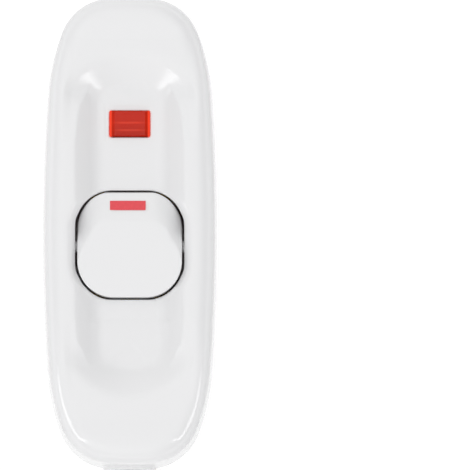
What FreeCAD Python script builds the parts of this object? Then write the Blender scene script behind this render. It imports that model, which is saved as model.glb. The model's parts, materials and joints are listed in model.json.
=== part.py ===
"""Inline cord switch: a two-part moulded housing, a rocker and a lit single-pole switch inside.

Units are millimetres. X is the width, Y the length (the indicator lens lies on +Y) and Z the
depth, from the flat back up to the rim of the scooped front. The origin is the middle of the back.
"""
import FreeCAD, Part
import math
import os

os.makedirs("parts", exist_ok=True)
Vector = FreeCAD.Vector
x_axis = Vector(1, 0, 0)
ends = (-1, 1)

# Housing outline and walls
body_length = 100.0
body_width = 37.0
body_depth = 25.0
side_turn = 3.9
shoulder_turn = 20.0
corner_turn = 85.0
shoulder_radius = 48.0
corner_radius = 11.6
parting_height = 11.0
wall = 2.0
front_draft = 0.5
rear_draft = 0.45
front_edge_radius = 4.0
back_edge_radius = 3.0
lip_height = 1.2
lip_clearance = 0.1

# Scooped recess: a straight channel with a bowl at each end
scoop_depth = 3.0
scoop_side_land = 6.85
scoop_wall_angle = 33.0
scoop_floor_radius = 6.0
scoop_rim_radius = 1.2
bowl_side_land = 6.5
bowl_end_land = 14.0
bowl_length = 13.9
bowl_end_share = 1.21
bowl_near_angle = 25.0
channel_overlap = 0.05
bowl_far_angle = 35.0
bowl_side_angle = 30.0

# Rocker, placed by its pivot
pivot_y = -3.4
pivot_height = 20.5
rocker_rim_inset = 0.55
rocker_upper_reach = 11.6
rocker_lower_reach = 11.0
rocker_corner = 7.7
rocker_face_height = 4.0
rocker_crease = 5.4
rocker_facet_angle = 15.0
rocker_crown_flat = 4.5
rocker_crown_radius = 11.0
rocker_skirt = 2.6
rocker_wall = 1.6
rocker_ceiling = 0.6
rocker_end_gap = 0.3
rocker_lower_gap = 0.3
rocker_side_gap = 0.35
opening_corner_extra = 0.1
opening_flare = 1.4
opening_flare_depth = 1.7
trunnion_radius = 1.25
trunnion_grip = 1.8
running_clearance = 0.05
lug_side_inset = 6.3
lug_thickness = 2.0
lug_half_length = 3.2
lug_below_pivot = 2.0
lug_root = 0.3

# Red mark on the rocker's upper facet
mark_width = 7.8
mark_length = 2.05
mark_reach = 8.6
mark_depth = 0.25
mark_proud = 0.02

# Indicator lens
lens_end_inset = 27.3
lens_width = 8.5
lens_length = 5.5
lens_proud = 0.6
lens_bevel_width = 1.0
lens_bevel_height = 0.45
lens_edge = 0.2
lens_wall = 1.2
lens_flange = 1.0
lens_flange_margin = 1.0
lens_clearance = 0.05

# Neon lamp under the lens
bulb_radius = 2.2
bulb_glass = 0.5
bulb_length = 9.6
bulb_gap = 0.2
electrode_radius = 0.35
electrode_length = 4.6
electrode_spacing = 1.3
pinch_length = 1.6
pinch_width = 2.6
pinch_thickness = 1.4
lead_radius = 0.3
lead_bend = 1.2
resistor_radius = 1.2
resistor_length = 6.4
resistor_height = 10.0
resistor_edge = 0.4
lead_side_step = 0.7

# Switch mechanism
swing_angle = 14.0
boss_radius = 3.2
boss_reach = 7.5
pocket_top = 0.5
plunger_radius = 1.8
plunger_clearance = 0.08
plunger_stem = 4.5
plunger_gap = 0.15
spring_wire = 0.25
spring_turns = 5
spring_steps = 12
spring_sides = 8
arm_height = 8.2
arm_thickness = 0.8
arm_width = 4.0
arm_lower_reach = 11.6
arm_upper_reach = 10.4
arm_tilt = 5.0
arm_pin_radius = 0.8
arm_pin_root = 0.1
contact_reach = 8.6
contact_radius = 1.6
contact_height = 0.8
contact_dome = 4.0
contact_gap = 0.08
fixed_contact_height = 0.6
ear_gap = 0.4
ear_thickness = 1.0
ear_half_length = 1.7
ear_above_pin = 1.4

# Terminals
strip_thickness = 1.0
strip_width = 3.0
terminal_x = 7.0
terminal_end_inset = 19.5
block_width = 6.0
block_length = 7.0
block_height = 7.0
wire_hole_radius = 1.3
wire_hole_height = 3.2
screw_radius = 1.5
screw_head_radius = 2.4
screw_head_height = 1.7
screw_slot_width = 0.6
screw_slot_depth = 0.8
thread_clearance = 0.05

# Cord inlets and clamps
cord_radius = 3.75
collar_radius = 5.6
collar_proud = 0.4
collar_length = 4.4
clamp_end_inset = 9.0
clamp_screw_x = 6.8
clamp_half_length = 9.2
clamp_width = 5.0
clamp_thickness = 2.2
clamp_squeeze = 1.6
clamp_post_radius = 2.4
clamp_screw_radius = 1.3
clamp_screw_grip = 6.0
clamp_groove = 0.6
hole_clearance = 0.2
pilot_spare = 0.5
saddle_thickness = 2.4
saddle_squeeze = 0.8

# Cover screws from behind
cover_screw_x = 12.4
cover_screw_y = 19.0
cover_post_radius = 3.5
cover_boss_radius = 2.6
cover_screw_radius = 1.3
cover_screw_grip = 7.0
cover_head_radius = 2.4
cover_head_height = 1.8
cover_seat_height = 6.0
head_clearance = 0.3

# Sizes that follow from the ones above
half_width = body_width / 2
half_length = body_length / 2
scoop_half_width = half_width - scoop_side_land
bowl_half_width = half_width - bowl_side_land
bowl_end_radius = bowl_half_width * bowl_end_share
bowl_far = half_length - bowl_end_land
bowl_near = bowl_far - bowl_length
rocker_half_width = scoop_half_width - rocker_rim_inset
lug_inner = half_width - lug_side_inset
trunnion_end = lug_inner + trunnion_grip
terminal_y = half_length - terminal_end_inset
lens_y = half_length - lens_end_inset
lead_drop_x = -terminal_x - lead_side_step
clamp_y = half_length - clamp_end_inset
rim_underside = body_depth - wall
floor_height = body_depth - scoop_depth
floor_underside = floor_height - wall
opening_half_width = rocker_half_width + rocker_side_gap
opening_top = pivot_y + rocker_upper_reach + rocker_end_gap
opening_bottom = pivot_y - rocker_lower_reach - rocker_lower_gap
face_height = pivot_height + rocker_face_height
lens_base = floor_underside - lens_flange
bulb_height = lens_base - bulb_gap - bulb_radius
strip_top = wall + strip_thickness
arm_top = arm_height + arm_thickness / 2
plunger_reach = pivot_height - arm_top - plunger_gap
clamp_seat = parting_height + cord_radius - clamp_squeeze
tall = 2 * body_depth
tiny = 0.01


def box(x, y, z):
    """A block between the low and high values of each axis."""
    return Part.makeBox(x[1] - x[0], y[1] - y[0], z[1] - z[0], Vector(x[0], y[0], z[0]))


def rod(radius, start, end):
    """A round rod from one point to another."""
    run = Vector(*end) - Vector(*start)
    return Part.makeCylinder(radius, run.Length, Vector(*start), run)


def line(start, end):
    return Part.LineSegment(Vector(*start), Vector(*end)).toShape()


def arc(start, middle, end):
    return Part.Arc(Vector(*start), Vector(*middle), Vector(*end)).toShape()


def loop(points):
    """Straight edges round a closed outline."""
    return [line(points[place - 1], points[place]) for place in range(len(points))]


def extrude(edges, travel):
    """A solid from a closed flat outline."""
    return Part.Face(Part.Wire(edges)).extrude(Vector(*travel))


def turned(shape, angle, y, z):
    """A copy turned about an X-wise axis through (y, z)."""
    copy = shape.copy()
    copy.rotate(Vector(0, y, z), x_axis, angle)
    return copy


def fused(shapes):
    return shapes[0].multiFuse(shapes[1:]).removeSplitter()


def save(name, shape):
    shape.exportStep(f"parts/{name}.step")


def outline_radii():
    """The four radii of a quarter outline: the side's and the end's close it at the width and length."""
    turns = [math.radians(angle) for angle in (0, side_turn, shoulder_turn, corner_turn, 90)]
    across = [math.cos(after) - math.cos(before) for before, after in zip(turns, turns[1:])]
    along = [math.sin(after) - math.sin(before) for before, after in zip(turns, turns[1:])]
    need_x = -body_width / 2 - shoulder_radius * across[1] - corner_radius * across[2]
    need_y = body_length / 2 - shoulder_radius * along[1] - corner_radius * along[2]
    share = across[0] * along[3] - across[3] * along[0]
    side_radius = (need_x * along[3] - across[3] * need_y) / share
    end_radius = (across[0] * need_y - need_x * along[0]) / share
    return turns, (side_radius, shoulder_radius, corner_radius, end_radius)


def outline(inset, height):
    """The housing's outline of tangent arcs, drawn in evenly by an inset, at a height."""
    turns, radii = outline_radii()
    arcs = []
    x = body_width / 2 - inset
    y = 0.0
    for before, after, radius in zip(turns, turns[1:], radii):
        points = []
        for turn in (before, (before + after) / 2, after):
            points.append((x + (radius - inset) * (math.cos(turn) - math.cos(before)),
                           y + (radius - inset) * (math.sin(turn) - math.sin(before))))
        arcs.append(points)
        x, y = points[-1]
    edges = [arc(*[(x, y, height) for x, y in points]) for points in arcs]
    edges += [arc(*[(-x, y, height) for x, y in reversed(points)]) for points in reversed(arcs)]
    edges += [arc(*[(-x, -y, height) for x, y in points]) for points in arcs]
    edges += [arc(*[(x, -y, height) for x, y in reversed(points)]) for points in reversed(arcs)]
    return Part.Wire(edges)


def shell_block(low_inset, low, high_inset, high):
    """A solid between two outlines."""
    if low_inset == high_inset:
        return Part.Face(outline(low_inset, low)).extrude(Vector(0, 0, high - low))
    return Part.makeLoft([outline(low_inset, low), outline(high_inset, high)], True, True)


def edges_at(shape, height):
    """Edges that lie wholly at one height."""
    found = []
    for edge in shape.Edges:
        box_of_edge = edge.BoundBox
        if abs(box_of_edge.ZMin - height) < tiny and abs(box_of_edge.ZMax - height) < tiny:
            found.append(edge)
    return found


def rounded_plan(half_width, low, high, low_corner, high_corner, height):
    """A closed plan outline with its own corner radius at each end."""
    def corner(x_side, y_side, radius):
        x = x_side * half_width
        y = low if y_side < 0 else high
        slant = radius * (1 - math.sqrt(0.5))
        along_y = (x, y - y_side * radius, height)
        middle = (x - x_side * slant, y - y_side * slant, height)
        along_x = (x - x_side * radius, y, height)
        return along_y, middle, along_x

    right_low = corner(1, -1, low_corner)
    right_high = corner(1, 1, high_corner)
    left_high = corner(-1, 1, high_corner)
    left_low = corner(-1, -1, low_corner)
    return [
        line(right_low[0], right_high[0]), arc(*right_high),
        line(right_high[2], left_high[2]), arc(*reversed(left_high)),
        line(left_high[0], left_low[0]), arc(*left_low),
        line(left_low[2], right_low[2]), arc(*reversed(right_low)),
    ]


def scoop_channel(grow):
    """The straight part of the recess, or its shape drawn outwards by the wall."""
    angle = math.radians(scoop_wall_angle)
    floor = floor_height - grow
    top = body_depth + 1
    rim = scoop_half_width + grow / math.sin(angle)
    foot = rim - (body_depth - floor) / math.tan(angle)
    lip = rim + (top - body_depth) / math.tan(angle)
    radius = scoop_floor_radius + grow
    reach = radius * math.tan(angle / 2)
    flat = foot - reach
    bend = (flat + radius * math.sin(angle / 2), floor + radius * (1 - math.cos(angle / 2)))
    rise = (foot + reach * math.cos(angle), floor + reach * math.sin(angle))
    reach_y = bowl_near + scoop_depth / math.tan(math.radians(bowl_near_angle)) + channel_overlap
    start = -reach_y
    edges = [
        line((-flat, start, floor), (flat, start, floor)),
        arc((flat, start, floor), (bend[0], start, bend[1]), (rise[0], start, rise[1])),
        line((rise[0], start, rise[1]), (lip, start, top)),
        line((lip, start, top), (-lip, start, top)),
        line((-lip, start, top), (-rise[0], start, rise[1])),
        arc((-rise[0], start, rise[1]), (-bend[0], start, bend[1]), (-flat, start, floor)),
    ]
    return extrude(edges, (0, 2 * reach_y, 0))


def scoop_bowl(side, grow):
    """The round-ended bowl at one end of the recess, as a cone cut by two sides and a near slope."""
    floor = floor_height - grow
    top = body_depth + 1

    def moved(angle_degrees, height):
        angle = math.radians(angle_degrees)
        return grow / math.sin(angle) + (height - body_depth) / math.tan(angle)

    middle = side * (bowl_far - bowl_end_radius)
    low_radius = bowl_end_radius + moved(bowl_far_angle, floor)
    high_radius = bowl_end_radius + moved(bowl_far_angle, top)
    cone = Part.makeCone(low_radius, high_radius, top - floor, Vector(0, middle, floor))
    near_foot = side * (bowl_near - moved(bowl_near_angle, floor))
    near_rim = side * (bowl_near - moved(bowl_near_angle, top))
    beyond = side * body_length
    foot = bowl_half_width + moved(bowl_side_angle, floor)
    rim = bowl_half_width + moved(bowl_side_angle, top)
    slope = [(near_foot, floor), (beyond, floor), (beyond, top), (near_rim, top)]
    sides = [(-foot, floor), (foot, floor), (rim, top), (-rim, top)]
    ramp = extrude(loop([(-tall, y, z) for y, z in slope]), (2 * tall, 0, 0))
    trough = extrude(loop([(x, -body_length, z) for x, z in sides]), (0, 2 * body_length, 0))
    return cone.common(ramp).common(trough)


def scoop(grow):
    """The whole recess."""
    return fused([scoop_channel(grow), scoop_bowl(1, grow), scoop_bowl(-1, grow)])


def opening_plan(grow, height):
    """The rocker opening's outline, drawn outwards, at a height."""
    corner = rocker_corner + opening_corner_extra + grow
    return rounded_plan(opening_half_width + grow, opening_bottom - grow, opening_top + grow, corner, corner, height)


def rocker_opening():
    """The opening, flared where it cuts into the walls of the recess."""
    flare_top = body_depth + opening_flare_depth
    flare_foot = Part.Wire(opening_plan(0, body_depth - opening_flare_depth))
    flare_rim = Part.Wire(opening_plan(2 * opening_flare, flare_top))
    flare = Part.makeLoft([flare_foot, flare_rim], True, True)
    return extrude(opening_plan(0, 0), (0, 0, tall)).fuse(flare)


def lens_window():
    half_x = lens_width / 2 + lens_clearance
    half_y = lens_length / 2 + lens_clearance
    return box((-half_x, half_x), (lens_y - half_y, lens_y + half_y), (floor_underside - 1, tall))


def collar(side):
    """The round sleeve that a cord enters through, at one end."""
    out = side * (body_length / 2 + collar_proud)
    inner = side * (body_length / 2 - collar_length)
    return rod(collar_radius, (0, inner, parting_height), (0, out, parting_height))


def cord_hole(side):
    out = side * body_length
    inner = side * (body_length / 2 - collar_length - 1)
    return rod(cord_radius, (0, inner, parting_height), (0, out, parting_height))


def lip_ring(outer_inset, inner_inset, low, high):
    """A band that follows the outline."""
    outer = shell_block(outer_inset, low, outer_inset, high)
    return outer.cut(shell_block(inner_inset, low, inner_inset, high))


def cover_screw_places():
    return [(x * cover_screw_x, y * cover_screw_y) for x in ends for y in ends]


def trunnion_lug(side):
    """A lug under the rim whose slot, open below, takes a trunnion of the rocker."""
    x = sorted((side * lug_inner, side * (lug_inner + lug_thickness)))
    low = pivot_height - lug_below_pivot
    reach = (pivot_y - lug_half_length, pivot_y + lug_half_length)
    lug = box(x, reach, (low, rim_underside + lug_root))
    slot_radius = trunnion_radius + running_clearance
    bore = rod(slot_radius, (x[0], pivot_y, pivot_height), (x[1], pivot_y, pivot_height))
    mouth = box(x, (pivot_y - slot_radius, pivot_y + slot_radius), (low, pivot_height))
    return lug.cut(bore).cut(mouth)


def front_skin():
    """The outer form of the front: drafted wall, round edge, recess and rocker opening."""
    outer = shell_block(0, parting_height, front_draft, body_depth)
    outer = outer.makeFillet(front_edge_radius, edges_at(outer, body_depth))
    recess = scoop(0)
    skin = outer.cut(recess)
    rim_edges = [edge for edge in edges_at(skin, body_depth) if recess.distToShape(edge)[0] < tiny]
    return skin.makeFillet(scoop_rim_radius, rim_edges).cut(rocker_opening())


def front_hollow():
    """The space inside the front, which follows the recess at one wall's distance."""
    hollow = shell_block(wall, parting_height, wall, rim_underside)
    hollow = hollow.makeFillet(front_edge_radius - wall, edges_at(hollow, rim_underside))
    return hollow.cut(scoop(wall))


def front_cover():
    above = box((-tall, tall), (-body_length, body_length), (parting_height, tall))
    pieces = [front_skin().cut(front_hollow())]
    pieces += [trunnion_lug(side) for side in ends]
    pieces += [collar(side).common(above) for side in ends]
    for x, y in cover_screw_places():
        pieces.append(rod(cover_boss_radius, (x, y, parting_height), (x, y, rim_underside)))
    cover = fused(pieces)
    rebate = lip_ring(wall / 2, wall + head_clearance, parting_height, parting_height + lip_height + lip_clearance)
    cuts = [rebate, lens_window()]
    cuts += [cord_hole(side) for side in ends]
    pilot = cover_screw_radius + thread_clearance
    depth = cover_screw_grip + pilot_spare
    for x, y in cover_screw_places():
        cuts.append(rod(pilot, (x, y, parting_height), (x, y, parting_height + depth)))
    return cover.cut(cuts)


def clamp_places():
    return [(x * clamp_screw_x, y * clamp_y) for x in ends for y in ends]


def cord_saddle(side):
    """The rib that a clamped cord lies on."""
    y = side * clamp_y
    half = saddle_thickness / 2
    half_width = clamp_screw_x - clamp_post_radius / 2
    rib = box((-half_width, half_width), (y - half, y + half), (wall / 2, parting_height - cord_radius / 2))
    low = parting_height + saddle_squeeze
    return rib.cut(rod(cord_radius, (0, y - clamp_width, low), (0, y + clamp_width, low)))


def rear_shell():
    """The rear wall and floor, with the lip that stands up inside the front."""
    lip_top = parting_height + lip_height
    outer = shell_block(rear_draft, 0, 0, parting_height)
    outer = outer.makeFillet(back_edge_radius, edges_at(outer, 0))
    lip = shell_block(wall / 2 + lip_clearance, parting_height, wall / 2 + lip_clearance, lip_top)
    hollow = shell_block(wall, wall, wall, lip_top)
    hollow = hollow.makeFillet(back_edge_radius - wall, edges_at(hollow, wall))
    return outer.fuse(lip).cut(hollow)


def rear_cover():
    below = box((-tall, tall), (-body_length, body_length), (0, parting_height))
    pieces = [rear_shell()]
    pieces += [collar(side).common(below) for side in ends]
    pieces += [cord_saddle(side) for side in ends]
    for x, y in cover_screw_places():
        pieces.append(rod(cover_post_radius, (x, y, wall / 2), (x, y, parting_height)))
    for x, y in clamp_places():
        pieces.append(rod(clamp_post_radius, (x, y, wall / 2), (x, y, clamp_seat)))
    cover = fused(pieces)
    cuts = [cord_hole(side) for side in ends]
    for x, y in cover_screw_places():
        cuts.append(rod(cover_screw_radius + hole_clearance, (x, y, 0), (x, y, parting_height)))
        cuts.append(rod(cover_head_radius + head_clearance, (x, y, 0), (x, y, cover_seat_height)))
    depth = clamp_screw_grip + pilot_spare
    for x, y in clamp_places():
        cuts.append(rod(clamp_screw_radius + thread_clearance, (x, y, clamp_seat - depth), (x, y, clamp_seat)))
    return cover.cut(cuts)


def rocker_plan(inset, low, high):
    """The rocker's plan outline, drawn in by an inset, as a prism."""
    corner = rocker_corner - inset
    plan = rounded_plan(rocker_half_width - inset, pivot_y - rocker_lower_reach + inset,
                        pivot_y + rocker_upper_reach - inset, corner, corner, low)
    return extrude(plan, (0, 0, high - low))


def rocker_crown():
    """A long bar, flat in the middle and round at both sides, that falls away at the facet angle."""
    flat = rocker_crown_flat
    radius = rocker_crown_radius
    half = math.sqrt(0.5) * radius
    start = -body_length / 2
    edges = [
        line((-flat, start, 0), (flat, start, 0)),
        arc((flat, start, 0), (flat + half, start, half - radius), (flat + radius, start, -radius)),
        line((flat + radius, start, -radius), (flat + radius, start, -tall)),
        line((flat + radius, start, -tall), (-flat - radius, start, -tall)),
        line((-flat - radius, start, -tall), (-flat - radius, start, -radius)),
        arc((-flat - radius, start, -radius), (-flat - half, start, half - radius), (-flat, start, 0)),
    ]
    bar = turned(extrude(edges, (0, body_length, 0)), -rocker_facet_angle, 0, 0)
    bar.translate(Vector(0, pivot_y + rocker_crease, face_height))
    return bar


def facet_height(reach):
    """Height of the upper facet's middle at a reach from the pivot."""
    return face_height - (reach - rocker_crease) * math.tan(math.radians(rocker_facet_angle))


def rocker_mark():
    """The red bar let into the upper facet."""
    y = pivot_y + mark_reach
    z = facet_height(mark_reach)
    bar = box((-mark_width / 2, mark_width / 2), (y - mark_length / 2, y + mark_length / 2),
              (z - mark_depth, z + mark_proud))
    return turned(bar, -rocker_facet_angle, y, z)


def on_plunger_axis(shape):
    """A shape drawn straight below the pivot, leaned to where the pressed rocker holds it."""
    return turned(shape, swing_angle / 2, pivot_y, pivot_height)


def below_pivot(radius, near, far):
    return rod(radius, (0, pivot_y, pivot_height - near), (0, pivot_y, pivot_height - far))


def pivot_drum(radius):
    return rod(radius, (-tall, pivot_y, pivot_height), (tall, pivot_y, pivot_height))


def rocker_sweep():
    """The room for the rocker's ends: round about the pivot, and upright above it at the lower end."""
    upper_side = box((-tall, tall), (pivot_y, body_length), (0, tall))
    upright = box((-tall, tall), (-body_length, pivot_y), (pivot_height, tall))
    return fused([pivot_drum(rocker_upper_reach).common(upper_side), pivot_drum(rocker_lower_reach), upright])


def rocker():
    low = pivot_height - rocker_skirt
    body = rocker_plan(0, low, face_height).common(rocker_crown()).common(rocker_sweep())
    hollow = rocker_plan(2 * rocker_wall, low, pivot_height + rocker_ceiling)
    boss = on_plunger_axis(below_pivot(boss_radius, -2 * rocker_ceiling, boss_reach))
    pins = rod(trunnion_radius, (-trunnion_end, pivot_y, pivot_height), (trunnion_end, pivot_y, pivot_height))
    pocket = on_plunger_axis(below_pivot(plunger_radius + plunger_clearance, pocket_top, boss_reach + 1))
    return fused([body.cut(hollow), boss, pins]).cut(pocket).cut(rocker_mark())


def plunger():
    stem = below_pivot(plunger_radius, plunger_stem, plunger_reach - plunger_radius)
    tip = Part.makeSphere(plunger_radius, Vector(0, pivot_y, pivot_height - plunger_reach + plunger_radius))
    return on_plunger_axis(stem.fuse(tip).removeSplitter())


def rocker_spring():
    """A coil between the pocket's end and the plunger, lofted through sections along its turns."""
    radius = plunger_radius - 2 * spring_wire + plunger_clearance
    height = plunger_stem - pocket_top - 2 * spring_wire
    base = pivot_height - plunger_stem + spring_wire
    steps = spring_turns * spring_steps
    sections = []
    for step in range(steps + 1):
        turn = 2 * math.pi * step / spring_steps
        middle = base + height * step / steps
        points = []
        for side in range(spring_sides):
            angle = 2 * math.pi * side / spring_sides
            reach = radius + spring_wire * math.cos(angle)
            points.append((reach * math.cos(turn), pivot_y + reach * math.sin(turn),
                           middle + spring_wire * math.sin(angle)))
        sections.append(Part.Wire(loop(points)))
    return on_plunger_axis(Part.makeLoft(sections, True, True))


def tipped(shape):
    """A shape drawn on the level contact arm, tipped to the closed contact."""
    return turned(shape, -arm_tilt, pivot_y, arm_height)


def contact_arm():
    half = arm_width / 2
    pin_end = half + ear_gap + ear_thickness
    strip = box((-half, half), (pivot_y - arm_lower_reach, pivot_y + arm_upper_reach),
                (arm_height - arm_thickness / 2, arm_top))
    pins = []
    for side in ends:
        root = side * (half - arm_pin_root)
        pins.append(rod(arm_pin_radius, (root, pivot_y, arm_height), (side * pin_end, pivot_y, arm_height)))
    return tipped(fused([strip] + pins))


def moving_contact():
    """A domed rivet head under the arm."""
    y = pivot_y + contact_reach
    base = arm_height - arm_thickness / 2
    head = rod(contact_radius, (0, y, base), (0, y, base - contact_height))
    dome = Part.makeSphere(contact_dome, Vector(0, y, base - contact_height + contact_dome))
    return tipped(head.common(dome))


def closed_point():
    """Where the domed contact comes lowest: its place along Y and its height."""
    centre = Vector(0, contact_reach, contact_dome - contact_height - arm_thickness / 2)
    lean = math.radians(arm_tilt)
    y = centre.y * math.cos(lean) + centre.z * math.sin(lean)
    z = centre.z * math.cos(lean) - centre.y * math.sin(lean)
    return pivot_y + y, arm_height + z - contact_dome


def fixed_contact():
    y, z = closed_point()
    top = z - contact_gap
    return rod(contact_radius, (0, y, top - fixed_contact_height), (0, y, top))


def terminal_block(x, y):
    """A brass pillar with a hole for the conductor and a tapped hole for its screw."""
    half_x = block_width / 2
    half_y = block_length / 2
    block = box((x - half_x, x + half_x), (y - half_y, y + half_y), (wall, wall + block_height))
    wire = wall + wire_hole_height
    wire_hole = rod(wire_hole_radius, (x, y - block_length, wire), (x, y + block_length, wire))
    tapped = rod(screw_radius + thread_clearance, (x, y, wire), (x, y, tall))
    return block.cut(wire_hole).cut(tapped)


def floor_strip(x, y_low, y_high):
    return box((x - strip_width / 2, x + strip_width / 2), (y_low, y_high), (wall, strip_top))


def neutral_bar():
    blocks = [terminal_block(-terminal_x, side * terminal_y) for side in ends]
    inner = terminal_y - block_length / 2
    return fused(blocks + [floor_strip(-terminal_x, -inner, inner)])


def line_in_terminal():
    """The terminal whose two notched ears carry the contact arm."""
    inner = arm_width / 2 + ear_gap
    outer = inner + ear_thickness
    reach = (pivot_y - ear_half_length, pivot_y + ear_half_length)
    strip = floor_strip(terminal_x, block_length / 2 - terminal_y, reach[1])
    foot = box((-outer, terminal_x), reach, (wall, strip_top))
    top = arm_height + ear_above_pin
    ears = [box(sorted((side * inner, side * outer)), reach, (wall, top)) for side in ends]
    notch = arm_pin_radius + running_clearance
    seat = rod(notch, (-outer, pivot_y, arm_height), (outer, pivot_y, arm_height))
    mouth = box((-outer, outer), (pivot_y - notch, pivot_y + notch), (arm_height, top))
    return fused([terminal_block(terminal_x, -terminal_y), strip, foot] + ears).cut(seat).cut(mouth)


def line_out_terminal():
    """The terminal with the raised shelf under the fixed contact."""
    y, z = closed_point()
    shelf_top = z - contact_gap - fixed_contact_height
    half = strip_width / 2 + contact_gap
    near = terminal_x - strip_width / 2
    strip = floor_strip(terminal_x, y - half, terminal_y - block_length / 2)
    riser = box((near, near + strip_thickness), (y - half, y + half), (wall, shelf_top))
    shelf = box((-contact_radius, near + strip_thickness), (y - half, y + half),
                (shelf_top - strip_thickness, shelf_top))
    return fused([terminal_block(terminal_x, terminal_y), strip, riser, shelf])


def slotted_screw(x, y, seat, head_side, radius, length, head_radius, head_height):
    """A cheese-head screw seated at a height, with its head above (1) or below (-1) the seat."""
    crown = seat + head_side * head_height
    head = rod(head_radius, (x, y, seat), (x, y, crown))
    shank = rod(radius, (x, y, seat), (x, y, seat - head_side * length))
    slot = box((x - head_radius, x + head_radius), (y - screw_slot_width / 2, y + screw_slot_width / 2),
               sorted((crown - head_side * screw_slot_depth, crown)))
    return fused([head, shank]).cut(slot)


def terminal_screws():
    seat = wall + block_height
    length = block_height - wire_hole_height - wire_hole_radius
    places = [(x * terminal_x, y * terminal_y) for x in ends for y in ends]
    return Part.makeCompound([slotted_screw(x, y, seat, 1, screw_radius, length, screw_head_radius,
                                            screw_head_height) for x, y in places])


def clamp_screws():
    seat = clamp_seat + clamp_thickness
    length = clamp_thickness + clamp_screw_grip
    return Part.makeCompound([slotted_screw(x, y, seat, 1, clamp_screw_radius, length, screw_head_radius,
                                            screw_head_height) for x, y in clamp_places()])


def cover_screws():
    length = parting_height - cover_seat_height + cover_screw_grip
    return Part.makeCompound([slotted_screw(x, y, cover_seat_height, -1, cover_screw_radius, length,
                                            cover_head_radius, cover_head_height)
                              for x, y in cover_screw_places()])


def cord_clamp(side):
    """The bar that two screws press down on a cord."""
    y = side * clamp_y
    half = clamp_width / 2
    bar = box((-clamp_half_length, clamp_half_length), (y - half, y + half),
              (clamp_seat, clamp_seat + clamp_thickness))
    groove = clamp_seat + clamp_groove - cord_radius
    bar = bar.cut(rod(cord_radius, (0, y - clamp_width, groove), (0, y + clamp_width, groove)))
    for x in ends:
        place = x * clamp_screw_x
        bar = bar.cut(rod(clamp_screw_radius + hole_clearance, (place, y, 0), (place, y, tall)))
    return bar


def indicator_lens():
    """A hollow lens with bevelled sides and a flange behind the window."""
    half_x = lens_width / 2
    half_y = lens_length / 2
    top = floor_height + lens_proud
    bevel = half_x - lens_bevel_width
    across = loop([(-half_x, lens_y - half_y, lens_base), (half_x, lens_y - half_y, lens_base),
                   (half_x, lens_y - half_y, top - lens_bevel_height), (bevel, lens_y - half_y, top),
                   (-bevel, lens_y - half_y, top), (-half_x, lens_y - half_y, top - lens_bevel_height)])
    along = loop([(-half_x, lens_y - half_y, lens_base), (-half_x, lens_y + half_y, lens_base),
                  (-half_x, lens_y + half_y, top - lens_edge), (-half_x, lens_y + half_y - lens_edge, top),
                  (-half_x, lens_y - half_y + lens_edge, top), (-half_x, lens_y - half_y, top - lens_edge)])
    block = extrude(across, (0, lens_length, 0)).common(extrude(along, (lens_width, 0, 0)))
    wide_x = half_x + lens_flange_margin
    wide_y = half_y + lens_flange_margin
    flange = box((-wide_x, wide_x), (lens_y - wide_y, lens_y + wide_y), (lens_base, floor_underside))
    inner_x = half_x - lens_wall
    inner_y = half_y - lens_wall
    hollow = box((-inner_x, inner_x), (lens_y - inner_y, lens_y + inner_y), (lens_base, top - lens_wall))
    return fused([block, flange]).cut(hollow)


def electrode_rows():
    return [lens_y + side * electrode_spacing / 2 for side in ends]


def neon_electrodes():
    """Two glow rods, each on a stem that leaves through the pinched end of the glass."""
    half = electrode_length / 2
    stem_end = -(bulb_length / 2 + pinch_length)
    rods = []
    for y in electrode_rows():
        glow = rod(electrode_radius, (-half, y, bulb_height), (half, y, bulb_height))
        stem = rod(lead_radius, (stem_end, y, bulb_height), (-half, y, bulb_height))
        rods.append(fused([glow, stem]))
    return Part.makeCompound(rods)


def capsule(radius, low):
    """A round bar along the bulb with a domed +X end."""
    centre = bulb_length / 2 - bulb_radius
    bar = rod(radius, (low, lens_y, bulb_height), (centre, lens_y, bulb_height))
    return bar.fuse(Part.makeSphere(radius, Vector(centre, lens_y, bulb_height))).removeSplitter()


def neon_bulb():
    low = -bulb_length / 2
    half_y = pinch_width / 2
    half_z = pinch_thickness / 2
    pinch = box((low - pinch_length, low + bulb_glass), (lens_y - half_y, lens_y + half_y),
                (bulb_height - half_z, bulb_height + half_z))
    glass = fused([capsule(bulb_radius, low), pinch])
    return glass.cut(capsule(bulb_radius - bulb_glass, low + bulb_glass)).cut(neon_electrodes())


def bent_lead(points):
    """A round lead along straight runs, joined by arcs at its right-angled corners."""
    corners = [Vector(*point) for point in points]
    edges = []
    start = corners[0]
    for before, corner, after in zip(corners, corners[1:], corners[2:]):
        back = (before - corner).normalize()
        ahead = (after - corner).normalize()
        first = corner + back * lead_bend
        last = corner + ahead * lead_bend
        middle = corner + (back + ahead) * (lead_bend * (1 - math.sqrt(0.5)))
        edges.append(Part.LineSegment(start, first).toShape())
        edges.append(Part.Arc(first, middle, last).toShape())
        start = last
    edges.append(Part.LineSegment(start, corners[-1]).toShape())
    section = Part.Wire(Part.makeCircle(lead_radius, corners[0], corners[1] - corners[0]))
    return Part.Wire(edges).makePipeShell([section], True, False)


def ballast_resistor():
    """The lamp's resistor on its own leads, from the bulb to the switched line."""
    y = electrode_rows()[1]
    pinch_end = -(bulb_length / 2 + pinch_length)
    lead = bent_lead([(pinch_end, y, bulb_height), (lead_drop_x, y, bulb_height), (lead_drop_x, y, resistor_height),
                      (terminal_x, y, resistor_height), (terminal_x, y, strip_top)])
    half = resistor_length / 2
    body = rod(resistor_radius, (-half, y, resistor_height), (half, y, resistor_height))
    body = body.makeFillet(resistor_edge, [edge for edge in body.Edges if edge.isClosed()])
    return fused([lead, body])


def neutral_lead():
    y = electrode_rows()[0]
    pinch_end = -(bulb_length / 2 + pinch_length)
    return bent_lead([(pinch_end, y, bulb_height), (lead_drop_x, y, bulb_height), (lead_drop_x, y, strip_top)])


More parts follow.
